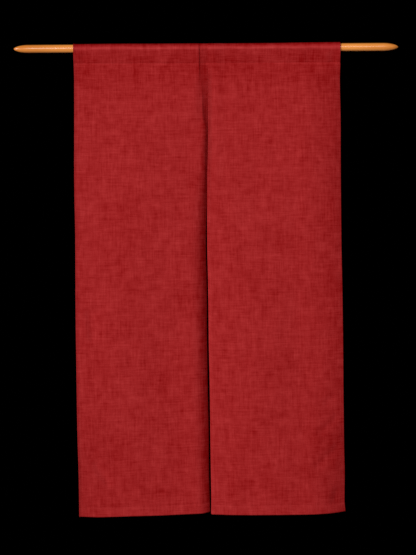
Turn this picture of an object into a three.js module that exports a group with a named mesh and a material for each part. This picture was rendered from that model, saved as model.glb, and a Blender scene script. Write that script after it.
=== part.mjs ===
// A split door curtain of two plain cloth panels, hanging by its sewn pocket on a turned wooden rod.
// Millimetres, +Z up. The origin is the middle of the rod's axis, +X runs along the rod to the right,
// and the cloth shows its face to -Y.
import * as THREE from 'three';

// ---- rod ----
const ROD_LENGTH = 1222;
const ROD_RADIUS = 12.7;
const POINT_LENGTH = 48; // each end narrows to its point over this length
const POINT_POWER = 0.55; // 0.5 is a plain ellipse, 1 a parabola
const ROD_SIDES = 28;
const POINT_STEPS = 7;

// ---- cloth: flat sizes ----
const LEFT_WIDTH = 434; // outer hem to inner hem
const RIGHT_WIDTH = 425; // inner hem to outer hem
const DROP = 1502; // pocket top to bottom hem
const POCKET_DROP = 62; // pocket top to the seam that closes it
const SEAM_BAND = 10; // the turned edge that lies under the seam
const SLIT_HEAD = 194; // above this drop the left cloth's margin is sewn under the right cloth's hem

// ---- cloth: thickness ----
const SHEET = 1.0;
const SIDE_HEM = 1.4;
const BOTTOM_HEM = 1.8;
const SIDE_HEM_WIDTH = 10;
const BOTTOM_HEM_DEPTH = 30;
const HEM_STEP = 2; // width over which a hem's extra thickness fades
const LAYER_PITCH = 1.8; // middle of one layer to the middle of the one over it
const PLEAT_HEIGHT = 2.0; // of the small pleat pressed flat in the left cloth, over the sheet
const ROD_GAP = 0.7; // between the rod and the cloth around it

// ---- pocket path ----
const ARC_STEPS = 12;
const SLOPE_STEPS = 4;
const POCKET_RADIUS = ROD_RADIUS + ROD_GAP + SHEET / 2; // to the middle of the cloth
const TOP_HEIGHT = POCKET_RADIUS + SHEET / 2;
const SEAM_HEIGHT = TOP_HEIGHT - POCKET_DROP;
// where the cloths lap, the outer one's back edge ends here, behind the seam and below its top
const FREE_END = { setback: 1.4, below: 8 };

// ---- drops of the cloth's rows below the seam, bottom first ----
const HANGING_ROWS = [
  DROP, DROP - BOTTOM_HEM_DEPTH, DROP - BOTTOM_HEM_DEPTH - HEM_STEP, 1430, 1370, 1300, 1240, 1180, 1110,
  1040, 985, 965, 948, 931, 900, 840, 770, 700, 640, 580, 520, 460, 400, 350, 310, 282, 262, 246, 234,
  224, 214, 204, SLIT_HEAD, 180, 150, 118, 95, POCKET_DROP + SEAM_BAND,
];

// ---- left cloth by drop: its outer edge, and how its inner margin bends back ----
// outer: X of the outer hem. fold: width along the cloth where the flat front ends, at the pleat's
// edge. curl: cloth in the bend after it. angle: degrees that the bend turns back.
const LEFT_HANG = [
  { drop: 0, outer: -422.5, fold: 402.9, curl: 8, angle: 0 },
  { drop: 95, outer: -422.4, fold: 402.9, curl: 8, angle: 0 },
  { drop: 118, outer: -422.3, fold: 404.0, curl: 8, angle: 1 },
  { drop: 150, outer: -422.3, fold: 407.0, curl: 8, angle: 2 },
  { drop: 180, outer: -422.2, fold: 409.8, curl: 8, angle: 3 },
  { drop: 194, outer: -422.2, fold: 411.2, curl: 8, angle: 6 },
  { drop: 204, outer: -422.2, fold: 412.3, curl: 8, angle: 26 },
  { drop: 214, outer: -422.1, fold: 413.3, curl: 8, angle: 42 },
  { drop: 224, outer: -422.1, fold: 414.6, curl: 8, angle: 54 },
  { drop: 246, outer: -422.0, fold: 416.4, curl: 9, angle: 64 },
  { drop: 262, outer: -421.9, fold: 415.0, curl: 12, angle: 65 },
  { drop: 282, outer: -421.9, fold: 411.0, curl: 18, angle: 63 },
  { drop: 310, outer: -421.9, fold: 405.0, curl: 26, angle: 60 },
  { drop: 350, outer: -421.9, fold: 398.0, curl: 34, angle: 57 },
  { drop: 400, outer: -421.9, fold: 392.0, curl: 40, angle: 54 },
  { drop: 520, outer: -422.0, fold: 385.0, curl: 47, angle: 50 },
  { drop: 580, outer: -421.9, fold: 383.0, curl: 49, angle: 54 },
  { drop: 640, outer: -421.8, fold: 380.0, curl: 52, angle: 60 },
  { drop: 700, outer: -421.3, fold: 378.0, curl: 54, angle: 66 },
  { drop: 770, outer: -420.8, fold: 377.0, curl: 55, angle: 66 },
  { drop: 1040, outer: -418.9, fold: 377.0, curl: 55, angle: 67 },
  { drop: 1240, outer: -416.3, fold: 377.0, curl: 55, angle: 70 },
  { drop: 1370, outer: -413.0, fold: 377.0, curl: 55, angle: 74 },
  { drop: DROP, outer: -412.0, fold: 377.0, curl: 55, angle: 75 },
];
const CURL_STEPS = 7;
const MARGIN_COLUMNS = [0.5, 1]; // the flat end past the bend, as shares of it
const LEFT_FLAT_COLUMNS = [0, SIDE_HEM_WIDTH, SIDE_HEM_WIDTH + HEM_STEP, 45, 90, 150, 210, 270, 325];
// columns before the fold, by how far back from it, and the share of the pleat's height there
const PLEAT_COLUMNS = [
  { back: 32, share: 0 },
  { back: 16, share: 0 },
  { back: 6, share: 1 },
  { back: 0.5, share: 1 },
];
const PLEAT_FADE = { from: 200, to: 330 }; // drops over which the pleat opens out

// ---- right cloth: both edges by drop ----
const RIGHT_HANG = [
  { drop: 0, inner: 4.7, outer: 425.8 },
  { drop: 118, inner: 4.7, outer: 424.3 },
  { drop: 350, inner: 4.6, outer: 425.2 },
  { drop: 580, inner: 4.6, outer: 426.5 },
  { drop: 840, inner: 5.2, outer: 429.2 },
  { drop: 1110, inner: 7.1, outer: 430.1 },
  { drop: 1300, inner: 8.8, outer: 431.8 },
  { drop: 1370, inner: 9.3, outer: 433.0 },
  { drop: 1470, inner: 10.0, outer: 430.9 },
  { drop: DROP, inner: 10.3, outer: 433.1 },
];
const RIGHT_COLUMNS = [
  0, SIDE_HEM_WIDTH, SIDE_HEM_WIDTH + HEM_STEP, 22, 34, 48, 90, 150, 210, 265, 310, 345, 375, 400,
  RIGHT_WIDTH - SIDE_HEM_WIDTH - HEM_STEP, RIGHT_WIDTH - SIDE_HEM_WIDTH, RIGHT_WIDTH,
];
const LAPPED_COLUMNS = 3; // these lie over the left cloth's margin, so their back edge hangs free
const LAP_SLOPE = { from: SIDE_HEM_WIDTH + HEM_STEP, to: 48 }; // width over which the lap comes down
const LAP_FADE = { from: SLIT_HEAD, to: 420 }; // drops over which the lapped hem falls back

// ---- edges along the width: how far the bottom hem is lifted, and the pocket's top raised ----
const BOTTOM_LIFT = [
  { x: -412, lift: 2 }, { x: -350, lift: -1.2 }, { x: -247, lift: 0.8 }, { x: -145, lift: 2.5 },
  { x: -44, lift: 6.8 }, { x: -20, lift: 8 }, { x: 7, lift: 12.5 }, { x: 10, lift: 5 }, { x: 70, lift: 3.3 },
  { x: 134, lift: 2.3 }, { x: 274, lift: 2.6 }, { x: 337, lift: 3.2 }, { x: 388, lift: 6.1 },
  { x: 413, lift: 9.2 }, { x: 433, lift: 12.5 },
];
const TOP_LIFT = [
  { x: -425, lift: 0 }, { x: -280, lift: 0.7 }, { x: -150, lift: 0 }, { x: 210, lift: 0.2 },
  { x: 300, lift: 1.2 }, { x: 425, lift: 1.7 },
];

// ---- how far the hanging cloth leaves its flat plane, towards the front ----
const LEFT_CORNER = { width: 120, depth: 8, from: 900, to: DROP }; // lower outer corner swings forward
const RIGHT_TURN = { from: 295, topDepth: 9, lowDepth: 14 }; // outer part turns back
const RIGHT_TURN_DROPS = { start: POCKET_DROP, full: 420, deepen: 1000, deepest: 1340 };
const BELLY = { depth: 4, from: 200, to: 900, width: 330 }; // each cloth's slack middle
const FOLD_CREASE = { drop: 948, height: 1.4, reach: 17 }; // crease left by the flat-folded cloth

// ---- colours ----
const CLOTH_RED = new THREE.Color(0.36, 0.018, 0.019);
const ROD_WOOD = new THREE.Color(0.66, 0.29, 0.075);

const clamp01 = (value) => Math.min(1, Math.max(0, value));

function ease(from, to, value) {
  const t = clamp01((value - from) / (to - from));
  return t * t * (3 - 2 * t);
}

// Straight-line look-up of one column of a table by its key column.
function lookUp(table, key, at, column) {
  const last = table.length - 1;
  if (at <= table[0][key]) return table[0][column];
  if (at >= table[last][key]) return table[last][column];
  const next = table.findIndex((row) => row[key] >= at);
  const low = table[next - 1];
  const high = table[next];
  const t = (at - low[key]) / (high[key] - low[key]);
  return low[column] + t * (high[column] - low[column]);
}

// ---- the cloth's path around the rod, seen from the side ----
// A row is { drop } on the hanging part. On the loop it is { slope, part }: up the front slope, over
// the arc, down the back slope, and last the back edge. Its seat is a middle point and outward normal.
function pocketRows() {
  const front = [];
  const arc = [];
  const back = [];
  for (let step = 0; step < SLOPE_STEPS; step += 1) front.push({ slope: 'front', part: step / SLOPE_STEPS });
  for (let step = 0; step <= ARC_STEPS; step += 1) arc.push({ slope: 'arc', part: step / ARC_STEPS });
  for (let step = 1; step < SLOPE_STEPS; step += 1) back.unshift({ slope: 'back', part: step / SLOPE_STEPS });
  return [...front, ...arc, ...back, { slope: 'end', part: 0 }];
}

function hangingSeat(drop, x) {
  const bottom = TOP_HEIGHT - DROP + lookUp(BOTTOM_LIFT, 'x', x, 'lift');
  const seamEdge = SEAM_HEIGHT - SEAM_BAND;
  const t = (drop - POCKET_DROP - SEAM_BAND) / (DROP - POCKET_DROP - SEAM_BAND);
  return { y: 0, z: seamEdge + t * (bottom - seamEdge), ny: -1, nz: 0 };
}

function pocketSeat(row, x) {
  const centre = lookUp(TOP_LIFT, 'x', x, 'lift') / 2; // a raised top is half shift, half looser loop
  const radius = POCKET_RADIUS + centre;
  const lean = Math.asin(radius / (centre - SEAM_HEIGHT)); // angle of each slope from upright
  const ny = -Math.cos(lean);
  const nz = -Math.sin(lean);
  if (row.slope === 'arc') {
    const angle = -lean + row.part * (Math.PI + 2 * lean);
    const y = -Math.cos(angle);
    const z = Math.sin(angle);
    return { y: radius * y, z: centre + radius * z, ny: y, nz: z };
  }
  if (row.slope === 'end') {
    return { y: FREE_END.setback, z: SEAM_HEIGHT - FREE_END.below, ny: 1, nz: 0 };
  }
  const side = row.slope === 'front' ? 1 : -1;
  const y = row.part * radius * ny * side;
  const z = SEAM_HEIGHT + row.part * (centre + radius * nz - SEAM_HEIGHT);
  if (row.part === 0) return { y, z, ny: -Math.cos(lean / 2), nz: -Math.sin(lean / 2) };
  return { y, z, ny: ny * side, nz };
}

const ROWS = [...HANGING_ROWS.map((drop) => ({ drop })), ...pocketRows()];
const SEAM_ROW = HANGING_ROWS.length - 1; // lower of the two rows that the pocket's back edge is sewn to
const dropOf = (row) => row.drop ?? 0; // the loop keeps the level section of the cloth's top
const seatOf = (row, x) => (row.drop === undefined ? pocketSeat(row, x) : hangingSeat(row.drop, x));

// ---- depth of the hanging cloth, towards the front, before the margin's bend ----
function crease(drop) {
  return FOLD_CREASE.height * clamp01(1 - Math.abs(drop - FOLD_CREASE.drop) / FOLD_CREASE.reach);
}

function belly(along, drop) {
  const share = Math.sin(Math.PI * clamp01(along / BELLY.width)) ** 2;
  return BELLY.depth * ease(BELLY.from, BELLY.to, drop) * share;
}

function leftDepth(along, drop) {
  const corner = LEFT_CORNER.depth * ease(LEFT_CORNER.from, LEFT_CORNER.to, drop);
  const swing = corner * clamp01(1 - along / LEFT_CORNER.width) ** 2;
  return swing + belly(along, drop) + crease(drop);
}

function rightDepth(along, drop) {
  const { start, full, deepen, deepest } = RIGHT_TURN_DROPS;
  const extra = (RIGHT_TURN.lowDepth - RIGHT_TURN.topDepth) * ease(deepen, deepest, drop);
  const depth = RIGHT_TURN.topDepth * ease(start, full, drop) + extra;
  const turn = depth * clamp01((along - RIGHT_TURN.from) / (RIGHT_WIDTH - RIGHT_TURN.from)) ** 2;
  const over = 1 - ease(LAP_SLOPE.from, LAP_SLOPE.to, along);
  const lap = LAYER_PITCH * over * (1 - ease(LAP_FADE.from, LAP_FADE.to, drop));
  return belly(along, drop) + lap - turn + crease(drop);
}

// ---- level sections: each is a list of { x, depth, turn, thick }, one for each column ----
// turn is the angle between the cloth and the rod's direction, positive where it goes back.
function leftSection(drop) {
  const at = (column) => lookUp(LEFT_HANG, 'drop', drop, column);
  const outer = at('outer');
  const fold = at('fold');
  const curl = at('curl');
  const angle = THREE.MathUtils.degToRad(at('angle'));
  const flat = LEFT_FLAT_COLUMNS.map((along) => {
    const thick = along <= SIDE_HEM_WIDTH ? SIDE_HEM : SHEET;
    return { x: outer + along, depth: leftDepth(along, drop), turn: 0, thick };
  });
  const pleatHeight = PLEAT_HEIGHT * (1 - ease(PLEAT_FADE.from, PLEAT_FADE.to, drop));
  const pleat = PLEAT_COLUMNS.map(({ back, share }) => {
    const extra = share * pleatHeight;
    const depth = leftDepth(fold - back, drop) + extra / 2;
    return { x: outer + fold - back, depth, turn: 0, thick: SHEET + extra };
  });
  const bend = [{ x: outer + fold, depth: leftDepth(fold, drop), turn: 0, thick: SHEET }];
  for (let step = 1; step <= CURL_STEPS; step += 1) {
    const last = bend[step - 1];
    const heading = (angle * (step - 0.5)) / CURL_STEPS;
    const x = last.x + (curl / CURL_STEPS) * Math.cos(heading);
    const depth = last.depth - (curl / CURL_STEPS) * Math.sin(heading);
    bend.push({ x, depth, turn: (angle * step) / CURL_STEPS, thick: SHEET });
  }
  const start = bend[CURL_STEPS];
  const rest = LEFT_WIDTH - fold - curl;
  const margin = MARGIN_COLUMNS.map((part) => ({
    x: start.x + rest * part * Math.cos(angle),
    depth: start.depth - rest * part * Math.sin(angle),
    turn: angle,
    thick: SIDE_HEM,
  }));
  return [...flat, ...pleat, ...bend, ...margin];
}

function rightSection(drop) {
  const inner = lookUp(RIGHT_HANG, 'drop', drop, 'inner');
  const outer = lookUp(RIGHT_HANG, 'drop', drop, 'outer');
  const scale = (outer - inner) / RIGHT_WIDTH;
  return RIGHT_COLUMNS.map((along) => {
    const hemmed = along <= SIDE_HEM_WIDTH || along >= RIGHT_WIDTH - SIDE_HEM_WIDTH;
    const thick = hemmed ? SIDE_HEM : SHEET;
    return { x: inner + along * scale, depth: rightDepth(along, drop), turn: 0, thick };
  });
}

// ---- a sheet of cloth as one closed solid ----
// Rows run up the front, over the rod and down the back; columns run across. From column sewnFrom on,
// the last row's two edges are the back face's own edges at the seam, which closes the pocket.
function clothSolid(section, sewnFrom) {
  const sections = ROWS.map((row) => section(dropOf(row)));
  const lastRow = ROWS.length - 1;
  const lastColumn = sections[0].length - 1;
  const points = [];
  const indexOf = new Map();
  const triangles = [];

  function corner(row, column, side) {
    if (row === lastRow && column >= sewnFrom) return corner(side > 0 ? SEAM_ROW : SEAM_ROW + 1, column, -1);
    const key = `${row} ${column} ${side}`;
    if (!indexOf.has(key)) {
      const { x, depth, turn, thick } = sections[row][column];
      const seat = seatOf(ROWS[row], x);
      const inHem = dropOf(ROWS[row]) >= DROP - BOTTOM_HEM_DEPTH;
      const half = (side * (inHem ? Math.max(thick, BOTTOM_HEM) : thick)) / 2;
      const out = depth + half * Math.cos(turn);
      indexOf.set(key, points.length / 3);
      points.push(x + half * Math.sin(turn), seat.y + out * seat.ny, seat.z + out * seat.nz);
    }
    return indexOf.get(key);
  }

  const quad = (a, b, c, d) => triangles.push(a, b, c, a, c, d);
  const rim = (a, b) => quad(corner(...b, 1), corner(...a, 1), corner(...a, -1), corner(...b, -1));

  for (let row = 0; row < lastRow; row += 1) {
    for (let column = 0; column < lastColumn; column += 1) {
      const ring = [[row, column], [row, column + 1], [row + 1, column + 1], [row + 1, column]];
      const sewn = column >= sewnFrom;
      quad(...ring.map(([r, c]) => corner(r, c, 1)));
      if (!sewn || row !== SEAM_ROW) quad(...ring.map(([r, c]) => corner(r, c, -1)).reverse());
      if (row === 0) rim(ring[0], ring[1]);
      if (column === lastColumn - 1) rim(ring[1], ring[2]);
      if (!sewn && row === lastRow - 1) rim(ring[2], ring[3]);
      if (column === 0) rim(ring[3], ring[0]);
    }
  }

  const geometry = new THREE.BufferGeometry();
  geometry.setAttribute('position', new THREE.Float32BufferAttribute(points, 3));
  geometry.setIndex(triangles);
  return geometry;
}

function rod() {
  const half = ROD_LENGTH / 2;
  const end = [];
  for (let step = 0; step <= POINT_STEPS; step += 1) {
    const part = 1 - Math.cos((Math.PI / 2) * (step / POINT_STEPS)); // closer together at the tip
    const radius = ROD_RADIUS * (1 - (1 - part) ** 2) ** POINT_POWER;
    end.push({ radius, along: half - part * POINT_LENGTH });
  }
  const right = end.map(({ radius, along }) => new THREE.Vector2(radius, along)).reverse();
  const left = end.map(({ radius, along }) => new THREE.Vector2(radius, -along));
  const geometry = new THREE.LatheGeometry([...left, ...right], ROD_SIDES);
  geometry.rotateZ(-Math.PI / 2);
  return geometry;
}

function piece(name, geometry, color, roughness) {
  const material = new THREE.MeshStandardMaterial({ color, roughness, metalness: 0 });
  const mesh = new THREE.Mesh(geometry, material);
  mesh.name = name;
  return mesh;
}

const curtain = new THREE.Group();
curtain.add(piece('rod', rod(), ROD_WOOD, 0.45));
curtain.add(piece('panel_left', clothSolid(leftSection, 0), CLOTH_RED, 0.9));
curtain.add(piece('panel_right', clothSolid(rightSection, LAPPED_COLUMNS), CLOTH_RED, 0.9));

export default curtain;
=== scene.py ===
"""A split door curtain of two plain red cloths on a turned wooden rod: cloth, sewing, wood, light.

The cloths hang in the XZ plane and face -Y. Lengths in the tables are millimetres and are turned
into metres where a mesh is made. "drop" is the distance down the cloth from the top of its pocket.
"""
import math

import bpy
import numpy as np
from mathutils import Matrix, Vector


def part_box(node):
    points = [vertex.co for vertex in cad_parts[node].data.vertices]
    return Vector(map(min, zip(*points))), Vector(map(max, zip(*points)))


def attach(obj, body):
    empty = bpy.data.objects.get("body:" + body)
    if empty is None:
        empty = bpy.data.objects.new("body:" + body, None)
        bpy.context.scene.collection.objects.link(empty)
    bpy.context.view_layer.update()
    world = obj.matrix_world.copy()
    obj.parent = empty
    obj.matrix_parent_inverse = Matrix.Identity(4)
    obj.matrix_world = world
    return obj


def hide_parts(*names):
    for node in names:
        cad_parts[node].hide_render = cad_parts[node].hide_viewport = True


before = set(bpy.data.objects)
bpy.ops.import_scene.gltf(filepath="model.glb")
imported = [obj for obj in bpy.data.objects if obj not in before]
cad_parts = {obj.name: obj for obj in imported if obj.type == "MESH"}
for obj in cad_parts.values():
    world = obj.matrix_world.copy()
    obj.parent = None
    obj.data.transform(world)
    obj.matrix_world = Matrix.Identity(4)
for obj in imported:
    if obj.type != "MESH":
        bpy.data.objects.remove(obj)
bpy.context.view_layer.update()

MM = 0.001

# ---- rod ----
ROD_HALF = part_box("rod")[1][0] / MM
ROD_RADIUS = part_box("rod")[1][2] / MM
POINT_LENGTH = 48.0
POINT_POWER = 0.55
ROD_WAVINESS = 0.1

# ---- cloth ----
LEFT_WIDTH = 434.0
RIGHT_WIDTH = 425.0
DROP = 1502.0
POCKET_DROP = 62.0
SEAM_BAND = 7.0
SLIT_HEAD = 194.0
SHEET = 0.7
HEM_EXTRA = 0.8
SIDE_HEM_WIDTH = 12.0
BOTTOM_HEM_DEPTH = 30.0
LAP_HEIGHT = 1.8
PLEAT_HEIGHT = 3.3
POCKET_RADIUS = ROD_RADIUS + 1.2
TOP_HEIGHT = POCKET_RADIUS + 0.5
SEAM_HEIGHT = TOP_HEIGHT - POCKET_DROP
POCKET_LEAN = math.asin(POCKET_RADIUS / -SEAM_HEIGHT)
SLOPE_LENGTH = 45.5
BACK_GAP = SHEET + 0.15

# How each cloth hangs, by drop. outer and inner: X of its hems. fold: width along the left cloth at
# which its flat front ends; curl: cloth in the bend after it; angle: degrees that the bend turns back;
# power: how late in the bend it turns; turn: width from which the inner hem is turned straight back.
LEFT_OUTER = dict(
    drop=[0, 55, 119, 246, 436, 627, 817, 1040, 1240, 1370, 1502],
    x=[-421.3, -420.6, -419.2, -419.8, -420.8, -418.4, -418.7, -417.1, -414.3, -410.8, -409.9],
)
LEFT_BEND = dict(
    drop=[0, 24, 42, 62, 95, 118, 150, 180, 194, 212, 236, 250, 262, 282, 310, 350, 430, 500, 545,
          640, 800, 960, 1120, 1240, 1370, 1502],
    fold=[399.8, 399.8, 399.8, 399.8, 399.8, 400.4, 401.6, 402.6, 402.9, 403.2, 403.3, 402.2, 399, 390,
          380, 375, 372, 365, 361, 355, 355, 355, 354, 356, 358, 362],
    curl=[3, 3, 3, 3, 3, 3, 3, 3, 3, 4, 8, 14, 22, 33, 42, 46, 50, 57, 60, 66, 63, 60, 59, 57, 54, 52],
    angle=[0, 3, 6, 9, 13, 17, 22, 26, 28, 31, 34, 39, 44, 48, 51, 52, 55, 53, 52, 49, 46, 38, 35, 34,
           37, 39],
    power=[1, 1, 1, 1, 1, 1, 1, 1, 1, 1, 1, 1.2, 1.6, 2.2, 3.0, 3.2, 3.0, 2.3, 2.0, 1.8, 1.9, 1.7, 1.7,
           1.8, 1.9, 2.0],
    turn=[434, 434, 434, 434, 434, 434, 434, 434, 434, 434, 434, 434, 434, 434, 434, 434, 429.7, 424,
          418.8, 414.2, 417.9, 415.4, 415.0, 414.7, 411.2, 413.6],
)
RIGHT_HANG = dict(
    drop=[0, 55, 118, 246, 300, 350, 430, 520, 640, 760, 840, 960, 1110, 1300, 1370, 1470, 1502],
    inner=[5.5, 5.5, 5.6, 5.6, 5.2, 4.2, 1.8, 0.8, 0.3, 2.2, 3.0, 3.6, 5.8, 7.1, 7.8, 8.6, 8.3],
    outer=[426.6, 427.4, 426.3, 428.1, 427.9, 427.7, 427.6, 427.9, 428.4, 430.2, 431.1, 432.0, 432.4,
           434.0, 435.6, 434.7, 437.4],
)

# How far parts of the cloths stand forward or lie back, at most, and how wide the belly is.
BELLY = 4.0
BELLY_WIDTH = 330
LEFT_CORNER_FORWARD = 10.0
LEFT_FRONT_BACK = 4.0
LEFT_EDGE_LIP = 1.7
RIGHT_EDGE_BACK = 13.5
RIGHT_CORNER_BACK = 6.0
RIGHT_LOW_BACK = 5.0
RIGHT_EDGE_CURL = 0.9
RIGHT_HEM_IN = 2.6
RIGHT_HEM_LIP = 3.4

# Along the width: how far the bottom hem is lifted, and the pocket's top raised off the rod.
BOTTOM_LIFT = dict(
    x=[-412, -350, -247, -145, -44, -20, 7, 10, 70, 134, 274, 337, 388, 413, 433],
    lift=[2, -1.2, 0.8, 2.5, 6.6, 7.2, 11.2, 4.6, 2.9, 2.1, 2.4, 2.6, 4.7, 6.6, 8.8],
)
TOP_LIFT = dict(x=[-425, -280, -150, 210, 300, 425], lift=[0, 0.7, 0, 0.2, 1.2, 1.7])

# Soft troughs left by folding and by the pull of the hems: from one end (x, drop) to the other, with
# their depth and half width. They fade out past their ends.
TROUGHS = [
    dict(start=(-425, 948), end=(0, 944), depth=0.9, width=12),  # packing fold, left
    dict(start=(0, 944), end=(432, 940), depth=0.7, width=12),  # packing fold, right
    dict(start=(-95, 790), end=(-24, 790), depth=0.5, width=9),  # packing fold, middle
    dict(start=(318, 790), end=(426, 792), depth=0.6, width=9),  # packing fold, right side
    dict(start=(45, 1245), end=(305, 1243), depth=0.55, width=10),  # packing fold, low
    dict(start=(-376, 850), end=(-368, 940), depth=2.6, width=11),  # dent at the packing fold
    dict(start=(-360, 1335), end=(-318, 1398), depth=2.0, width=9),  # dent at the low corner
    dict(start=(410, 1195), end=(352, 1245), depth=1.7, width=10),  # hem pull, upper
    dict(start=(412, 1290), end=(344, 1350), depth=1.8, width=11),  # hem pull, lower
    dict(start=(400, 1128), end=(372, 1150), depth=1.2, width=10),  # hem pull, top
    dict(start=(412, 1425), end=(400, 1466), depth=2.6, width=13),  # dent over the bottom hem
    dict(start=(-396, 40), end=(-388, 60), depth=1.3, width=7),  # pocket end, left
    dict(start=(396, 36), end=(402, 60), depth=1.6, width=8),  # pocket end, right
    dict(start=(322, 30), end=(330, 62), depth=1.0, width=12),  # slack in the pocket, right
]

# Broad waves of the hanging cloth: their height, the lengths across and down it over which they turn
# by one radian, and how many radians each step of a cloth's own seed shifts them.
WAVES = [
    dict(height=1.3, across=92.0, down=410.0, phase=1),
    dict(height=0.9, across=61.0, down=-270.0, phase=2),
]

# Unevenness of the hanging cloth: its height, the side of its cells, and what is added to the seed.
UNEVENNESS = [dict(height=0.75, cell=74.0, draw=0), dict(height=0.34, cell=31.0, draw=5)]

# ---- tone of the thin cloth ----
# In steps of TONE_STEP on the scale of its colours: lighter where a turned hem or the pocket's turned
# edge lies close behind it, with a painted highlight along the front of the rod; painted shade over the
# pocket's slope and the rod's top, below the seam, low down, on the left cloth's margin and pleat fold
# and along the right cloth's outer edge; painted light on the right cloth's inner hem. Places and half
# widths are millimetres of cloth.
TONE_STEP = 0.085
OVER_HEM = 0.8
# Painted highlight on the cloth over the front of the rod: its height in steps, and where its line lies
# and how wide it is.
ROD_FRONT_HIGHLIGHT = 4.2
ROD_HIGHLIGHT_LINE = dict(at=-1.9, half=3.3)
# Painted shade: over the pocket's front slope and the top of the rod, below the seam, and darker towards
# the bottom.
POCKET_PAINTED_SHADE = dict(near=0.8, far=0.6, top=2.6)
BELOW_SEAM_SHADE = 1.6
LOW_DOWN_SHADE = 0.25
ON_SEAM_EDGE = 1.1
# Painted shade on the left cloth's margin by drop, and a painted shade line along the pleat's fold.
LEFT_SHADE = dict(drop=[62, 150, 260, 560, 900, 1300], tone=[0.5, 1.2, 2.1, 2.6, 2.5, 2.3])
PLEAT_SHADE_LINE = dict(tone=1.6, at=1.2, half=3.4)
# Painted highlight on the right cloth's inner hem above and beside the slit, and painted shade along its
# outer edge.
RIGHT_HEM_HIGHLIGHT = 1.0
RIGHT_LOW_HEM_HIGHLIGHT = 0.8
RIGHT_EDGE_SHADE = 1.0

# ---- colours ----
# A middle tone, and the tones from dark to light with their places on a scale of 0 to 1.
RED = (0.348, 0.0164, 0.0171)
# The dark end is reached mostly where painted shade lowers the tone.
RED_ENDS = ((0.13, (0.250, 0.0032, 0.0036)), (1.0, (0.505, 0.0450, 0.0455)))
RED_BETWEEN = ((0.45, RED), (0.77, (0.440, 0.0305, 0.0312)))
THREAD_RED = (0.40, 0.024, 0.025)
THREAD_ENDS = ((0.0, (0.28, 0.014, 0.015)), (1.0, (0.52, 0.04, 0.04)))
WOOD = (0.82, 0.280, 0.050)
WOOD_ENDS = ((0.3, (0.67, 0.203, 0.029)), (0.72, (1.00, 0.380, 0.078)))

# The weave: metres after which it repeats, and where each cloth lies on the bolt, in millimetres; how
# much each size of unevenness counts in its tone, and the contrast and shift of their sum.
WEAVE_REPEAT = 0.0013
WEAVE_START = dict(left=0.0, right=600.0)
COUNTS = dict(yarn=0.31, slub=0.29, mottle=0.38, broad=0.18)
CONTRAST = 1.45
TONE_SHIFT = -0.826

# The rod's turned ends: metres from its middle to where they grow darker, and how fast, per metre.
END_FROM = 0.46
END_TONE = -1.3

# ---- light and camera ----
# The key light comes from the left front: degrees from straight ahead and above the level, its
# strength, and how wide it looks, in degrees.
KEY_SIDE = 48
KEY_HEIGHT = 5
KEY_STRENGTH = 2.48
KEY_ANGLE = 16

# Area lights in metres and watts: a long one in front and two dim ones for the back.
BACK_AIM = (0, 0, -0.72)
AREA_LIGHTS = [
    dict(name="front", place=(-0.25, -4.9, 0.7), aim=(0, 0, -0.4), size=(2.4, 0.7), power=116),
    dict(name="back_left", place=(-1.1, 4.2, 0.3), aim=BACK_AIM, size=(1.6, 2.0), power=60, shine=False),
    dict(name="back_right", place=(1.3, 4.2, 0.2), aim=BACK_AIM, size=(1.6, 2.0), power=60, shine=False),
]

# The camera's place in metres and its lens in millimetres. It is turned a few tenths of a degree about
# its line of sight: the rod's right end shows higher.
CAMERA_PLACE = (0.0022, -4.9, -0.7296)
CAMERA_LENS = 100.0
CAMERA_ROLL = 0.33

# ---- meshes ----
# Spacing and stitches, in millimetres of cloth.
ROW_STEP = 6.4
COLUMN_STEP = 5.2
STITCH_PITCH = 3.2
STITCH_LENGTH = 2.5
STITCH_INSET = 1.6
THREAD_RADIUS = 0.34
THREAD_SINK = 0.12

# Points round the rod and round a stitch, and rings along a stitch; and the column of points up which
# a cloth's own length is measured, in plain cloth.
ROD_SIDES = 72
THREAD_SIDES = 6
THREAD_RINGS = 7
PLAIN_COLUMN = 30


# ---------------------------------------------------------------- numbers
def ease(low, high, value):
    """Smooth step from 0 at low to 1 at high: 3t^2 - 2t^3."""
    t = np.clip((value - low) / (high - low), 0.0, 1.0)
    return t * t * (3.0 - 2.0 * t)


def curve_through(keys, values, at):
    """Monotone cubic through (keys, values): Hermite pieces, each inner slope the harmonic mean of the
    two chord slopes beside it, or zero where these have opposite signs."""
    keys = np.asarray(keys, float)
    values = np.asarray(values, float)
    step = np.diff(keys)
    chord = np.diff(values) / step
    product = chord[:-1] * chord[1:]
    total = np.where(product > 0, chord[:-1] + chord[1:], 1.0)
    inner = np.where(product > 0, 2.0 * product / total, 0.0)
    slope = np.concatenate([chord[:1], inner, chord[-1:]])
    at = np.clip(at, keys[0], keys[-1])
    i = np.clip(np.searchsorted(keys, at, side="right") - 1, 0, len(step) - 1)
    h = step[i]
    t = (at - keys[i]) / h
    low = (2 * t**3 - 3 * t**2 + 1) * values[i] + (t**3 - 2 * t**2 + t) * h * slope[i]
    high = (3 * t**2 - 2 * t**3) * values[i + 1] + (t**3 - t**2) * h * slope[i + 1]
    return low + high


def soft_noise(u, v, cell, seed):
    """Smooth noise between -1 and 1: random values on a square lattice of side cell, joined by smooth
    steps in both directions."""
    lattice = np.random.default_rng(seed).uniform(-1.0, 1.0, (64, 64))
    a = u / cell + 20.0
    b = v / cell + 2.0
    i = np.floor(a).astype(int)
    j = np.floor(b).astype(int)
    s = ease(0, 1, a - i)
    t = ease(0, 1, b - j)
    low = lattice[i % 64, j % 64] * (1 - s) + lattice[(i + 1) % 64, j % 64] * s
    high = lattice[i % 64, (j + 1) % 64] * (1 - s) + lattice[(i + 1) % 64, (j + 1) % 64] * s
    return low * (1 - t) + high * t


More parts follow.
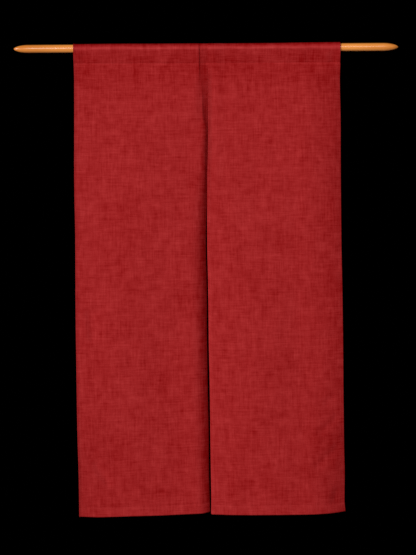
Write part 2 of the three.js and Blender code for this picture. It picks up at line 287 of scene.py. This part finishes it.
def trough(x, drop, start, end, depth, width):
    """A soft groove along a line: depth times a bell curve of the distance to the line, wider on the
    right of a line that runs down, faded out over one and a half half-widths past its ends."""
    ax, ad = start
    length = math.hypot(end[0] - ax, end[1] - ad)
    dx, dd = (end[0] - ax) / length, (end[1] - ad) / length
    along = (x - ax) * dx + (drop - ad) * dd
    across = (drop - ad) * dx - (x - ax) * dd
    reach = 1.5 * width
    fade = ease(-reach, 0.5 * reach, along) * (1 - ease(length - 0.5 * reach, length + reach, along))
    spread = np.where(across > 0, width, width * (1 + 1.6 * dd * dd))
    return -depth * fade * np.exp(-((across / spread) ** 2))


# ---------------------------------------------------------------- how the cloth hangs
# The stretches of a cloth, from its bottom hem over the rod to the edge turned down behind the seam.
STRETCHES = range(5)
HANGING, FRONT_SLOPE, ARC, BACK_SLOPE, TURNED_EDGE = STRETCHES


def steps_between(low, high, step):
    """Even points from low to high, both included, about step apart."""
    return np.linspace(low, high, max(2, int(round((high - low) / step)) + 1))


def cloth_rows():
    """The rows of both cloths from the bottom hem up the front, over the rod and down the back.
    Each has a drop, the kind of stretch that it is on, and its part of that stretch."""
    hem_line = DROP - BOTTOM_HEM_DEPTH
    near_seam = np.array([-3.5, -2.2, -1.2, -0.5, 0.5, 1.2, 2.2, 3.5])
    hanging = np.concatenate([
        steps_between(POCKET_DROP + 5, 180, 5.0),
        steps_between(180, 330, 3.6)[1:],
        steps_between(330, hem_line - 6, ROW_STEP)[1:],
        hem_line + near_seam,
        steps_between(hem_line + 6, DROP, 4.0),
        POCKET_DROP + near_seam[near_seam > 0],
    ])
    hanging = np.sort(hanging)[::-1]
    slope = np.concatenate([[0.0, 0.012, 0.03, 0.055], np.linspace(0.09, 0.94, 11)])
    arc = np.linspace(0, 1, 27)
    parts = [np.zeros_like(hanging), slope, arc, slope[::-1], np.linspace(0.15, 1, 4)]
    kind = np.concatenate([np.full(len(part), stretch) for stretch, part in zip(STRETCHES, parts)])
    part = np.concatenate(parts)
    drop = np.concatenate([hanging, np.zeros(len(kind) - len(hanging))])
    return drop[:, None], kind[:, None], part[:, None]


def seat(drop, kind, part, x):
    """Where the cloth's middle lies and which way is out, seen from the side. The loop is an arc round
    the rod with two straight slopes that meet at the seam, tangent to the arc; the hanging part is
    upright below the seam, and the turned edge lies close behind it. Out is level at the seam."""
    centre = curve_through(TOP_LIFT["x"], TOP_LIFT["lift"], x) / 2
    radius = POCKET_RADIUS + centre
    lean = np.arcsin(radius / (centre - SEAM_HEIGHT))
    bottom = TOP_HEIGHT - DROP + np.interp(x, BOTTOM_LIFT["x"], BOTTOM_LIFT["lift"])
    down = (drop - POCKET_DROP) / (DROP - POCKET_DROP)
    angle = -lean + part * (math.pi + 2 * lean)
    foot_y = radius * np.cos(lean)
    foot_z = centre - radius * np.sin(lean) - SEAM_HEIGHT
    still = np.zeros_like(x)
    one = np.ones_like(x)
    kinds = [kind == stretch for stretch in STRETCHES]
    y = np.select(kinds, [still, -part * foot_y, -radius * np.cos(angle),
                          BACK_GAP + part * (foot_y - BACK_GAP), BACK_GAP * one])
    z = np.select(kinds, [SEAM_HEIGHT + down * (bottom - SEAM_HEIGHT), SEAM_HEIGHT + part * foot_z,
                          centre + radius * np.sin(angle), SEAM_HEIGHT + part * foot_z,
                          SEAM_HEIGHT - part * SEAM_BAND])
    tilt = lean * np.clip(2 * part, 0, 1)
    ny = np.select(kinds, [-one, -np.cos(tilt), -np.cos(angle), np.cos(tilt), one])
    nz = np.select(kinds, [still, -np.sin(tilt), np.sin(angle), -np.sin(tilt), still])
    return y, z, ny, nz


def front_drop(drop, kind, part):
    """Drop of a row as seen from the front, also for the slope in front of the rod."""
    slope = np.where(kind == FRONT_SLOPE, POCKET_DROP * (1 - 0.72 * part), 0.0)
    return np.where(kind == HANGING, drop, slope)


def relief(x, drop, kind, seed):
    """Depth of the cloth's own unevenness: broad slack waves that grow below the pocket, soft noise at
    two sizes, the troughs, and small puckers drawn up by the sewing."""
    free = ease(POCKET_DROP, 420, drop)
    waves = sum(wave["height"] * np.sin(x / wave["across"] + drop / wave["down"] + wave["phase"] * seed)
                for wave in WAVES)
    noise = sum(item["height"] * soft_noise(x, drop, item["cell"], seed + item["draw"])
                for item in UNEVENNESS)
    fine = 0.13 * soft_noise(x, drop, 13.0, seed + 9)
    shape = free * waves + (0.25 + 0.75 * free) * noise + fine
    for item in TROUGHS:
        shape = shape + trough(x, drop, **item)
    on_front = (kind <= FRONT_SLOPE).astype(float)
    for line, groove in ((POCKET_DROP, 0.6), (DROP - BOTTOM_HEM_DEPTH, 0.5)):
        away = np.abs(drop - line)
        pucker = 0.3 * soft_noise(x, drop * 0.25, 8.0, seed + 17) * np.exp(-((away / 9.0) ** 2))
        shape = shape + pucker - groove * np.exp(-((away / 3.2) ** 2))
    return shape * on_front


def level(drop, kind, part):
    """Height of a row below the pocket's top, on the front or the back, and 0 over the rod."""
    slope = POCKET_DROP * (1 - part) + 24 * part
    turned_edge = POCKET_DROP + SEAM_BAND * part
    kinds = [kind == HANGING, kind == ARC, kind == TURNED_EDGE]
    return np.select(kinds, [drop, 0.0, turned_edge], slope)


def over_rod(kind, part):
    """1 on the front, falling to 0.15 over the top of the rod and down its back."""
    arc = 1 - 0.85 * ease(0.0, 0.42, part)
    return np.select([kind <= FRONT_SLOPE, kind == ARC], [1.0, arc], 0.15)


def belly(u, seen):
    """How far a cloth stands forward beside its first hem: a squared half sine, growing downward."""
    return BELLY * ease(200, 900, seen) * np.sin(np.pi * np.clip(u / BELLY_WIDTH, 0, 1)) ** 2


def left_cloth(drop, kind, part):
    """Level sections of the left cloth: flat from the outer hem to the fold, then a bend whose heading
    grows as a power of the way through it, then the inner hem turned straight back. X and depth are
    running sums of the cosine and sine of the heading; behind the rod it bends the other way, so that
    both layers stay together. Above the slit the fold is pressed into a pleat that stands over it.
    Painted shade darkens the margin from the fold on, most where it swings free, and runs as a line along
    the pleat's fold above the slit."""
    height = level(drop, kind, part)
    look = {key: curve_through(LEFT_BEND["drop"], LEFT_BEND[key], height) for key in LEFT_BEND}
    fold, curl, turn = look["fold"], look["curl"], look["turn"]
    outer_hem = [0, 1.2, 3, 6, 9.4, 10.6, 11.6, 12.4, 13.6]
    plain = np.concatenate([outer_hem, steps_between(17, 330, COLUMN_STEP)])
    margin = np.array([421.0, 422.4, 423.4, 424.6, 427.0, 429.0, 431.0, 432.8, LEFT_WIDTH])
    wide = np.ones_like(drop)
    u = np.concatenate([
        wide * plain,
        330 + (fold - 7 - 330) * np.linspace(0, 1, 12)[1:],
        fold + np.array([-4.6, -2.6, -1.2, -0.45, -0.1, 0.15, 0.5, 1.4]),
        fold + 2.2 + (420 - fold - 2.2) * (1 - np.linspace(1, 0, 26)[:-1] ** 1.6),
        wide * margin,
    ], axis=1)
    bend = look["angle"] * np.clip((u - fold) / curl, 0, 1) ** look["power"]
    heading = np.radians(bend + (90 - bend) * ease(0, 8, u - turn) * (turn < 433.5))
    middle = (heading + np.roll(heading, 1, axis=1)) / 2
    step = np.diff(u, axis=1, prepend=u[:, :1])
    outer = curve_through(LEFT_OUTER["drop"], LEFT_OUTER["x"], height)
    x = outer + np.cumsum(np.cos(middle) * step, axis=1)
    seen = front_drop(drop, kind, part)
    side = np.where(kind >= BACK_SLOPE, -1.0, 1.0)
    corner = LEFT_CORNER_FORWARD * ease(1000, 1360, seen) * np.clip(1 - u / 170, 0, 1) ** 2
    slack = belly(u, seen)
    falling = LEFT_FRONT_BACK * ease(1130, 1380, seen) * np.clip((u - 255) / 145, 0, 1) ** 2
    lip = LEFT_EDGE_LIP * np.clip(1 - u / 9, 0, 1) ** 2
    depth = corner + slack + lip - falling + relief(x, seen, kind, 3)
    depth = depth - side * np.cumsum(np.sin(middle) * step, axis=1)
    held = 1 - ease(190, 290, drop)
    edge = u - fold
    softer = ease(76, 135, height)
    rounded = (1.3 + 2.6 * softer) * np.clip(1 + edge / (10 + 17 * softer), 0, 1) ** 2
    ledge = (PLEAT_HEIGHT + 0.7 * softer) * ease(-320, -25, edge) - rounded
    pleat = held * over_rod(kind, part) * np.where(edge < 0, ledge * (1 - 0.7 * ease(-0.5, 0.1, edge)),
                                                   0.3 * ledge * (1 - ease(0, 14, edge)))
    # How much of the painted highlight along the rod's front the left cloth takes: little past the fold.
    rod_highlight_share = 1 - 0.75 * ease(-1.5, 1.5, u - fold)
    free = turn - fold
    spread = ease(230, 330, height)
    # Painted shade on the margin from the fold on, and a painted shade line along the pleat's fold above
    # the slit.
    shade = ease(0.3 * free * spread, 6 + (0.9 * free - 6) * spread, edge) * ease(40, 120, height)
    shade = shade * np.interp(height, LEFT_SHADE["drop"], LEFT_SHADE["tone"])
    line = np.exp(-(((edge - PLEAT_SHADE_LINE["at"]) / PLEAT_SHADE_LINE["half"]) ** 2))
    shade = shade + PLEAT_SHADE_LINE["tone"] * (1 - ease(110, 200, height)) * line
    return dict(u=u, x=x, depth=depth, raised=pleat, rod_highlight_share=rod_highlight_share, shade=shade,
                hem_from=(SIDE_HEM_WIDTH, LEFT_WIDTH - SIDE_HEM_WIDTH))


def right_cloth(drop, kind, part):
    """Level sections of the right cloth: X runs evenly between its hems. The inner hem lies over the left
    cloth's margin above the slit and carries a painted highlight there and beside the slit lower down,
    and the outer part turns back as a parabola, with painted shade along its outer edge."""
    inner = curve_through(RIGHT_HANG["drop"], RIGHT_HANG["inner"], drop)
    outer = curve_through(RIGHT_HANG["drop"], RIGHT_HANG["outer"], drop)
    columns = np.concatenate([
        [0, 0.5, 1.6, 4, 7.5, 10.0, 11.2, 12.4, 13.8, 17],
        steps_between(21, RIGHT_WIDTH - 20, COLUMN_STEP),
        RIGHT_WIDTH - np.array([16, 13.6, 12.4, 11.6, 10.6, 9.4, 6, 3, 1.2, 0]),
    ])
    u = np.ones_like(drop) * columns
    x = inner + (outer - inner) * u / RIGHT_WIDTH
    seen = front_drop(drop, kind, part)
    side = np.where(kind >= BACK_SLOPE, -1.0, 1.0)
    height = level(drop, kind, part)
    below_rod = ease(24, 125, height)
    turned = RIGHT_EDGE_BACK * below_rod + RIGHT_CORNER_BACK * ease(1000, 1340, seen)
    low = RIGHT_LOW_BACK * ease(1180, 1420, seen)
    turn = turned * np.clip((u - 300) / (RIGHT_WIDTH - 300), 0, 1) ** 2
    turn = turn + low * np.clip((u - 235) / (RIGHT_WIDTH - 235), 0, 1) ** 2
    turn = turn + RIGHT_EDGE_CURL * below_rod * np.clip(1 - (RIGHT_WIDTH - u) / 24, 0, 1) ** 2
    slack = belly(u, seen) - RIGHT_HEM_IN * ease(40, 125, height) * np.clip(1 - u / 90, 0, 1) ** 2
    free = ease(SLIT_HEAD + 120, 640, drop)
    lip = RIGHT_HEM_LIP * ease(58, 120, height)
    lap = LAP_HEIGHT * (1 - ease(16, 60, u)) + lip * np.clip(1 - u / 17, 0, 1) ** 2
    lap = (1 - free) * over_rod(kind, part) * lap - 1.0 * free * np.clip(1 - u / 8, 0, 1) ** 2
    depth = lap + side * (slack - turn) + relief(x, seen, kind, 11)
    above_slit = ease(58, 84, height) * (1 - ease(230, 330, height))
    beside_slit = ease(640, 800, height) * (1 - ease(1080, 1200, height))
    # Painted highlight on the inner hem above and beside the slit, painted shade along the outer edge.
    shade = -RIGHT_HEM_HIGHLIGHT * above_slit * np.exp(-(((u - 12) / 12) ** 2))
    shade = shade + RIGHT_EDGE_SHADE * below_rod * ease(RIGHT_WIDTH - 95, RIGHT_WIDTH - 5, u)
    shade = shade - RIGHT_LOW_HEM_HIGHLIGHT * beside_slit * np.clip(1 - u / 16, 0, 1)
    return dict(u=u, x=x, depth=depth, raised=np.zeros_like(u), rod_highlight_share=np.ones_like(u), shade=shade,
                hem_from=(SIDE_HEM_WIDTH, RIGHT_WIDTH - SIDE_HEM_WIDTH))


# ---------------------------------------------------------------- meshes
def unit(vectors):
    """The same directions with length 1."""
    return vectors / np.linalg.norm(vectors, axis=-1, keepdims=True)


def grid_faces(rows, columns, first=0):
    """Quads of a grid of points numbered row by row, as seen with rows going up and columns right."""
    corner = first + (np.arange(rows - 1)[:, None] * columns + np.arange(columns - 1)).reshape(-1)
    return np.stack([corner, corner + 1, corner + columns + 1, corner + columns], axis=1)


def mesh_object(name, points, faces, uv=None, backing_and_painted_light=None):
    """A smooth-shaded object from points in millimetres and its faces."""
    mesh = bpy.data.meshes.new(name)
    mesh.from_pydata(np.asarray(points) * MM, [], [list(face) for face in faces])
    if uv is not None:
        corners = np.empty(len(mesh.loops), dtype=np.int32)
        mesh.loops.foreach_get("vertex_index", corners)
        layer = mesh.uv_layers.new(name="cloth_metres")
        layer.data.foreach_set("uv", (uv[corners] * MM).astype(np.float32).reshape(-1))
    if backing_and_painted_light is not None:
        tone = mesh.attributes.new("backing_and_painted_light", "FLOAT", "POINT")
        tone.data.foreach_set("value", backing_and_painted_light.astype(np.float32))
    mesh.polygons.foreach_set("use_smooth", np.ones(len(mesh.polygons), dtype=bool))
    mesh.update()
    made = bpy.data.objects.new(name, mesh)
    bpy.context.scene.collection.objects.link(made)
    return made


def hem_share(cloth, drop, kind):
    """Where the side hems and the bottom hem are turned: 1 there, 0 in single cloth."""
    low, high = cloth["hem_from"]
    side = 1 - ease(low - 0.6, low + 0.6, cloth["u"]) * (1 - ease(high - 0.6, high + 0.6, cloth["u"]))
    hem_line = DROP - BOTTOM_HEM_DEPTH
    bottom = ease(hem_line - 0.8, hem_line + 0.8, drop) * (kind == HANGING)
    return side, bottom


def tone_from_backing_and_painted_light(cloth, hem, drop, kind, part):
    """How many steps lighter the thin cloth looks. It is lighter in turned hems and along the seam's
    edge, where the turned edge lies behind it, broken like a row of stitches; a painted highlight runs
    along a bell curve where it is drawn over the front of the rod. Painted shade darkens it over the
    pocket's front slope and the rod's top, below the seam and low down, and the painted shade and painted
    light of each cloth's section are added as well."""
    slope_run = -POCKET_RADIUS * POCKET_LEAN - SLOPE_LENGTH * (1 - part)
    arc_run = POCKET_RADIUS * (-POCKET_LEAN + part * (math.pi + 2 * POCKET_LEAN))
    run = np.select([kind == FRONT_SLOPE, kind == ARC], [slope_run, arc_run], 100.0)
    level_line = np.zeros_like(cloth["x"])
    # A painted highlight along the front of the rod, patchy along its length.
    patchy = 0.85 + 0.35 * soft_noise(cloth["x"], level_line, 11.0, 41)
    broken = 0.8 + 0.6 * soft_noise(cloth["x"], level_line, 9.0, 43)
    line = np.exp(-(((run - ROD_HIGHLIGHT_LINE["at"]) / ROD_HIGHLIGHT_LINE["half"]) ** 2))
    rod = ROD_FRONT_HIGHLIGHT * line * patchy * cloth["rod_highlight_share"]
    # Painted shade over the pocket's front slope and the rod's top, below the seam and low down.
    before = POCKET_PAINTED_SHADE["near"] * ease(4, 12, -run) + POCKET_PAINTED_SHADE["far"] * ease(12, 40, -run)
    behind = POCKET_PAINTED_SHADE["top"] * ease(1, 11, run) * (1 - ease(26, 44, run))
    below = BELOW_SEAM_SHADE * (1 - ease(POCKET_DROP, 185, drop)) + LOW_DOWN_SHADE * ease(1190, 1300, drop)
    darker = np.where(kind == HANGING, below, np.where(run < 0, before, behind))
    band_end = POCKET_DROP + SEAM_BAND
    seam_edge = (1 - ease(band_end - 3, band_end + 1, drop)) * (kind == HANGING)
    return OVER_HEM * hem + rod + ON_SEAM_EDGE * broken * seam_edge - darker - cloth["shade"]


def sheet_points(cloth, drop, kind, part, hem):
    """Front and back faces of a cloth: its middle surface moved along its normal by half the sheet,
    the front also by the pleat, the back also by the turned hems."""
    y, z, ny, nz = seat(drop, kind, part, cloth["x"])
    middle = np.stack([cloth["x"], y + cloth["depth"] * ny, z + cloth["depth"] * nz], axis=-1)
    across = np.gradient(middle, axis=1)
    along = np.gradient(middle, axis=0)
    normal = unit(np.cross(across, along))
    front = middle + normal * (SHEET / 2 + cloth["raised"])[..., None]
    back = middle - normal * (SHEET / 2 + HEM_EXTRA * hem)[..., None]
    return middle, normal, front, back


def sheet_mesh(name, front, back, uv, backing_and_painted_light):
    """A closed sheet: front quads, back quads turned over, and a strip of quads round the rim."""
    rows, columns = front.shape[:2]
    count = rows * columns
    index = np.arange(count).reshape(rows, columns)
    rim = np.concatenate([index[0, :-1], index[:-1, -1], index[-1, :0:-1], index[:0:-1, 0]])
    after = np.roll(rim, -1)
    faces = np.concatenate([
        grid_faces(rows, columns),
        grid_faces(rows, columns, count)[:, ::-1],
        np.stack([after, rim, rim + count, after + count], axis=1),
    ])
    points = np.concatenate([front.reshape(-1, 3), back.reshape(-1, 3)])
    shade = backing_and_painted_light.reshape(-1)
    return mesh_object(name, points, faces, np.concatenate([uv, uv]), np.concatenate([shade, shade]))


def thread_mesh(name, centres, along, out):
    """Short stitches: each a spindle of rings, its radius the sine of the way along it, with very
    small rings for its tips."""
    along = unit(along)
    out = unit(out)
    side = np.cross(along, out)
    phi = np.linspace(0, math.pi, THREAD_RINGS)
    ring = np.arange(THREAD_SIDES) * math.pi / (THREAD_SIDES / 2)
    length = (-np.cos(phi) * STITCH_LENGTH / 2)[:, None] * np.ones(THREAD_SIDES)
    radius = np.maximum(np.sin(phi), 0.02)[:, None] * THREAD_RADIUS
    local = np.stack([length, radius * np.cos(ring), radius * np.sin(ring)], axis=-1).reshape(-1, 3)
    frames = np.stack([along, side, out], axis=1)
    points = centres[:, None, :] + np.einsum("pk,nkc->npc", local, frames)
    body = np.arange(THREAD_SIDES)
    turn = (body + 1) % THREAD_SIDES
    firsts = THREAD_SIDES * np.arange(THREAD_RINGS - 1)
    bands = [(first + body, first + turn, first + THREAD_SIDES + turn, first + THREAD_SIDES + body)
             for first in firsts]
    one = np.concatenate([np.stack(band, axis=1) for band in bands])
    caps = np.array([body[::-1], (THREAD_RINGS - 1) * THREAD_SIDES + body])
    start = (np.arange(len(centres)) * len(local))[:, None, None]
    faces = (one + start).reshape(-1, 4).tolist() + (caps + start).reshape(-1, THREAD_SIDES).tolist()
    return mesh_object(name, points.reshape(-1, 3), faces)


def distances(points):
    """How far along a line of points each of them lies."""
    gaps = np.linalg.norm(np.diff(points, axis=0), axis=1)
    return np.concatenate([[0], np.cumsum(gaps)])


def evenly(points, normals, pitch):
    """Centres, directions and normals every pitch along a line of points."""
    run = distances(points)
    at = np.arange(pitch, run[-1] - pitch, pitch)

    def pick(values):
        return np.stack([np.interp(at, run, values[:, k]) for k in range(3)], axis=1)

    centre = pick(points)
    return centre, np.gradient(centre, axis=0), pick(normals)


# ---------------------------------------------------------------- materials
def finish(name, colour, roughness, **sockets):
    """A Principled material with its plain sockets set, and a helper that adds and links nodes."""
    made = bpy.data.materials.new(name)
    made.use_nodes = True
    made.diffuse_color = (*colour, 1)
    tree = made.node_tree
    shader = tree.nodes["Principled BSDF"]
    shader.inputs["Base Color"].default_value = (*colour, 1)
    shader.inputs["Roughness"].default_value = roughness
    for socket, value in sockets.items():
        shader.inputs[socket.replace("_", " ")].default_value = value

    def node(kind, inputs=(), **settings):
        new = tree.nodes.new(kind)
        for key, value in settings.items():
            setattr(new, key, value)
        for key, value in dict(inputs).items():
            if isinstance(value, bpy.types.NodeSocket):
                tree.links.new(value, new.inputs[key])
            else:
                new.inputs[key].default_value = value
        return new.outputs

    return made, shader, tree, node


def maths(node, operation, a, b=0.0, c=0.0):
    """The result of a math node on numbers or outputs."""
    return node("ShaderNodeMath", {0: a, 1: b, 2: c}, operation=operation)[0]


def stretched_noise(node, vector, scale, detail=2.0, roughness=0.5):
    """Noise whose cells are 1 / scale metres long in each direction of the vector."""
    mapped = node("ShaderNodeMapping", {"Vector": vector, "Scale": scale})[0]
    settings = {"Vector": mapped, "Scale": 1.0, "Detail": detail, "Roughness": roughness}
    return node("ShaderNodeTexNoise", settings)[0]


def toned(tree, shader, node, tone, ends, between=()):
    """Colours the material by a tone, through its two end colours and any colours between them."""
    ramp = node("ShaderNodeValToRGB", {"Fac": tone})
    colours = tree.nodes[-1].color_ramp
    for stop, (place, colour) in zip(list(colours.elements), ends):
        stop.position = place
        stop.color = (*colour, 1)
    for place, colour in between:
        colours.elements.new(place).color = (*colour, 1)
    tree.links.new(ramp[0], shader.inputs["Base Color"])


def red_cloth():
    """Thin plain weave in yarn of uneven thickness. Long thin noise along the weft and the warp gives the
    slubs; their sum, with broad mottling, the lighter tone of turned hems and the painted highlight and
    painted shade held in a point attribute, takes the dye from deep to pale red, and with the crossing
    waves of the weave it lifts the surface."""
    made, shader, tree, node = finish("red_cloth", RED, 0.7, Specular_IOR_Level=0.02)
    metres = node("ShaderNodeUVMap", uv_map="cloth_metres")[0]
    weft = stretched_noise(node, metres, (36, 400, 1), 3.0, 0.6)
    warp = stretched_noise(node, metres, (400, 32, 1), 3.0, 0.6)
    weft_slub = stretched_noise(node, metres, (13, 190, 1), 2.0)
    warp_slub = stretched_noise(node, metres, (190, 11, 1), 2.0)
    mottle = stretched_noise(node, metres, (38, 34, 1), 3.0, 0.55)
    broad = stretched_noise(node, metres, (9, 8, 1), 1.0)
    yarn = maths(node, "ADD", weft, warp)
    slub = maths(node, "ADD", weft_slub, warp_slub)
    slubs = maths(node, "MULTIPLY", slub, COUNTS["slub"])
    mixed = maths(node, "MULTIPLY_ADD", yarn, COUNTS["yarn"], slubs)
    broads = maths(node, "MULTIPLY", broad, COUNTS["broad"])
    patches = maths(node, "MULTIPLY_ADD", mottle, COUNTS["mottle"], broads)
    tone = maths(node, "ADD", mixed, patches)
    # The attribute holds the lighter tone of turned hems and the painted highlight and painted shade.
    behind = maths(node, "MULTIPLY", node("ShaderNodeAttribute", attribute_name="backing_and_painted_light")[2], TONE_STEP)
    spread = maths(node, "MULTIPLY_ADD", tone, CONTRAST, TONE_SHIFT)
    deep_to_pale = maths(node, "ADD", spread, behind)
    toned(tree, shader, node, deep_to_pale, RED_ENDS, RED_BETWEEN)
    split = node("ShaderNodeSeparateXYZ", {0: metres})
    pitch = 2 * math.pi / WEAVE_REPEAT
    over = maths(node, "SINE", maths(node, "MULTIPLY", split[0], pitch))
    under = maths(node, "SINE", maths(node, "MULTIPLY", split[1], pitch))
    crossing = maths(node, "MULTIPLY", over, under)
    height = maths(node, "MULTIPLY_ADD", crossing, 0.12, mixed)
    bump = node("ShaderNodeBump", {"Height": height, "Strength": 0.3, "Distance": 0.0011})[0]
    tree.links.new(bump, shader.inputs["Normal"])
    return made


def red_thread():
    """Sewing thread: the cloth's red with a twist along it."""
    made, shader, tree, node = finish("red_thread", THREAD_RED, 0.6, Specular_IOR_Level=0.1)
    place = node("ShaderNodeTexCoord")[3]
    fibre = stretched_noise(node, place, (900, 900, 900), 2.0)
    toned(tree, shader, node, fibre, THREAD_ENDS)
    return made


def rod_wood():
    """Pale straight-grained wood under thin satin varnish: noise drawn out along the rod for the grain,
    finer noise for the pores, slow changes of tone along its length, and darker turned ends."""
    made, shader, tree, node = finish(
        "rod_wood", WOOD, 0.5, Specular_IOR_Level=0.1, Coat_Weight=1.0, Coat_Roughness=0.27)
    place = node("ShaderNodeTexCoord")[3]
    grain = stretched_noise(node, place, (5, 170, 170), 4.0, 0.6)
    pores = stretched_noise(node, place, (26, 900, 900), 2.0, 0.6)
    slow = stretched_noise(node, place, (6, 30, 30), 1.0)
    tone = maths(node, "MULTIPLY_ADD", grain, 0.6, maths(node, "MULTIPLY", slow, 0.4))
    along = maths(node, "ABSOLUTE", node("ShaderNodeSeparateXYZ", {"Vector": place})[0])
    ends = maths(node, "MAXIMUM", maths(node, "SUBTRACT", along, END_FROM), 0.0)
    tone = maths(node, "MULTIPLY_ADD", ends, END_TONE, tone)
    toned(tree, shader, node, tone, WOOD_ENDS)
    rough = maths(node, "MULTIPLY_ADD", pores, 0.25, 0.3)
    tree.links.new(rough, shader.inputs["Roughness"])
    height = maths(node, "MULTIPLY_ADD", grain, 0.5, maths(node, "MULTIPLY", pores, 0.5))
    bump = node("ShaderNodeBump", {"Height": height, "Strength": 0.25, "Distance": 0.0003})[0]
    tree.links.new(bump, shader.inputs["Normal"])
    return made


def dress(piece, material, node=None):
    """Gives a piece its material, hangs it under the root body and hides the model's part that it stands
    in for, if any.
    """
    piece.data.materials.append(material)
    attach(piece, "root")
    if node:
        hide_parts(node)
    return piece


# ---------------------------------------------------------------- the pieces
def make_rod(material):
    """The rod: a circle carried along X, its radius full in the middle and falling at each end as
    (1 - (1 - d / L)^2)^p of the distance d to the tip, with a slow waviness along it."""
    tip = POINT_LENGTH * (1 - np.cos(np.linspace(0, math.pi / 2, 22)))
    body = steps_between(POINT_LENGTH, 2 * ROD_HALF - POINT_LENGTH, 14)[1:-1]
    along = np.concatenate([tip, body, 2 * ROD_HALF - tip[::-1]])
    inset = np.minimum(along, 2 * ROD_HALF - along)
    share = np.clip(inset / POINT_LENGTH, 0, 1)
    radius = (ROD_RADIUS - ROD_WAVINESS) * (1 - (1 - share) ** 2) ** POINT_POWER
    radius = np.maximum(radius, 0.05) + ROD_WAVINESS * share * np.sin(along / 57.0)
    turn = np.linspace(0, 2 * math.pi, ROD_SIDES + 1)[:-1]
    x = (along - ROD_HALF)[:, None] * np.ones(ROD_SIDES)
    points = np.stack([x, radius[:, None] * np.cos(turn), radius[:, None] * np.sin(turn)], axis=-1)
    ring = np.arange(ROD_SIDES)
    after = (ring + 1) % ROD_SIDES
    first = (np.arange(len(along) - 1) * ROD_SIDES)[:, None]
    second = first + ROD_SIDES
    quads = np.stack([first + ring, first + after, second + after, second + ring], axis=-1).reshape(-1, 4)
    last = (len(along) - 1) * ROD_SIDES
    faces = quads[:, ::-1].tolist() + [ring.tolist(), (last + ring[::-1]).tolist()]
    return dress(mesh_object("rod_turned", points.reshape(-1, 3), faces), material, "rod")


def sew(name, cloth, drop, kind, normal, front, material):
    """Stitches pressed a little into the cloth's face: along the pocket's seam, the bottom hem and
    both side hems."""
    u = cloth["u"]
    lift = front - normal * THREAD_SINK
    seam_row = int(np.argmax(kind[:, 0] == FRONT_SLOPE))
    above_hem = np.abs(drop[:, 0] - (DROP - BOTTOM_HEM_DEPTH + 2.2))
    hem_row = int(np.argmin(np.where(kind[:, 0] == HANGING, above_hem, np.inf)))
    low, high = cloth["hem_from"]
    first = int(np.argmin(np.abs(u[seam_row] - (low - STITCH_INSET))))
    last = int(np.argmin(np.abs(u[seam_row] - (high + STITCH_INSET))))
    lines = [
        (lift[seam_row, first:], normal[seam_row, first:]),
        (lift[hem_row], normal[hem_row]),
        (lift[:seam_row, first], normal[:seam_row, first]),
        (lift[:seam_row, last], normal[:seam_row, last]),
    ]
    runs = [evenly(points, out, STITCH_PITCH) for points, out in lines]
    parts = [np.concatenate(group) for group in zip(*runs)]
    return dress(thread_mesh(name, *parts), material)


def make_cloth(side, section, cloth_material, thread_material):
    """One cloth and its stitches. Its own length is measured up one plain column of points."""
    drop, kind, part = cloth_rows()
    cloth = section(drop, kind, part)
    side_hem, bottom_hem = hem_share(cloth, drop, kind)
    middle, normal, front, back = sheet_points(cloth, drop, kind, part, np.maximum(side_hem, bottom_hem))
    backing_and_painted_light = tone_from_backing_and_painted_light(cloth, np.maximum(0.2 * side_hem, bottom_hem), drop, kind, part)
    run = distances(middle[:, PLAIN_COLUMN])
    uv = np.stack([cloth["u"], run[:, None] + 0 * cloth["u"]], axis=-1).reshape(-1, 2)
    piece = sheet_mesh(f"cloth_{side}", front, back, uv + WEAVE_START[side], backing_and_painted_light)
    dress(piece, cloth_material, f"panel_{side}")
    stitches = sew(f"stitches_{side}", cloth, drop, kind, normal, front, thread_material)


# ---------------------------------------------------------------- light, floor and camera
def area_light(name, place, aim, size, power, shine=True):
    """A rectangular light turned towards its aim."""
    light = bpy.data.lights.new(name, "AREA")
    light.shape = "RECTANGLE"
    light.size, light.size_y = size
    light.energy = power
    made = bpy.data.objects.new(name, light)
    made.location = place
    gaze = np.array(aim, float) - np.array(place, float)
    yaw = math.atan2(gaze[1], gaze[0]) - math.pi / 2
    pitch = math.atan2(gaze[2], math.hypot(gaze[0], gaze[1])) + math.pi / 2
    made.rotation_euler = (pitch, 0, yaw)
    made.visible_camera = False
    made.visible_glossy = shine
    bpy.context.scene.collection.objects.link(made)


def floor():
    """A grey floor well below the cloth."""
    half, height = 2.0, -2.0
    corners = ((-half, -half), (half, -half), (half, half), (-half, half))
    points = np.array([(x, y, height) for x, y in corners])
    made = mesh_object("floor", points / MM, [[0, 1, 2, 3]])
    made.data.materials.append(finish("floor_paint", (0.2, 0.2, 0.2), 0.8)[0])


def light_and_camera():
    """A dark room with a soft sun from the left front, the area lights, and the camera straight ahead."""
    scene = bpy.context.scene
    world = bpy.data.worlds.new("dark_room")
    world.use_nodes = True
    world.node_tree.nodes["Background"].inputs["Color"].default_value = (0, 0, 0, 1)
    scene.world = world
    scene.view_settings.view_transform = "Standard"
    key = bpy.data.lights.new("key", "SUN")
    key.energy = KEY_STRENGTH
    key.angle = math.radians(KEY_ANGLE)
    sun = bpy.data.objects.new("key", key)
    sun.rotation_euler = (math.radians(90 - KEY_HEIGHT), 0, math.radians(-KEY_SIDE))
    scene.collection.objects.link(sun)
    for light in AREA_LIGHTS:
        area_light(**light)
    camera = bpy.data.cameras.new("camera")
    camera.lens = CAMERA_LENS
    made = bpy.data.objects.new("camera", camera)
    made.location = CAMERA_PLACE
    made.rotation_euler = (math.pi / 2, math.radians(CAMERA_ROLL), 0)
    scene.collection.objects.link(made)
    scene.camera = made


light_and_camera()
floor()
cloth_finish = red_cloth()
thread_finish = red_thread()
make_rod(rod_wood())
make_cloth("left", left_cloth, cloth_finish, thread_finish)
make_cloth("right", right_cloth, cloth_finish, thread_finish)
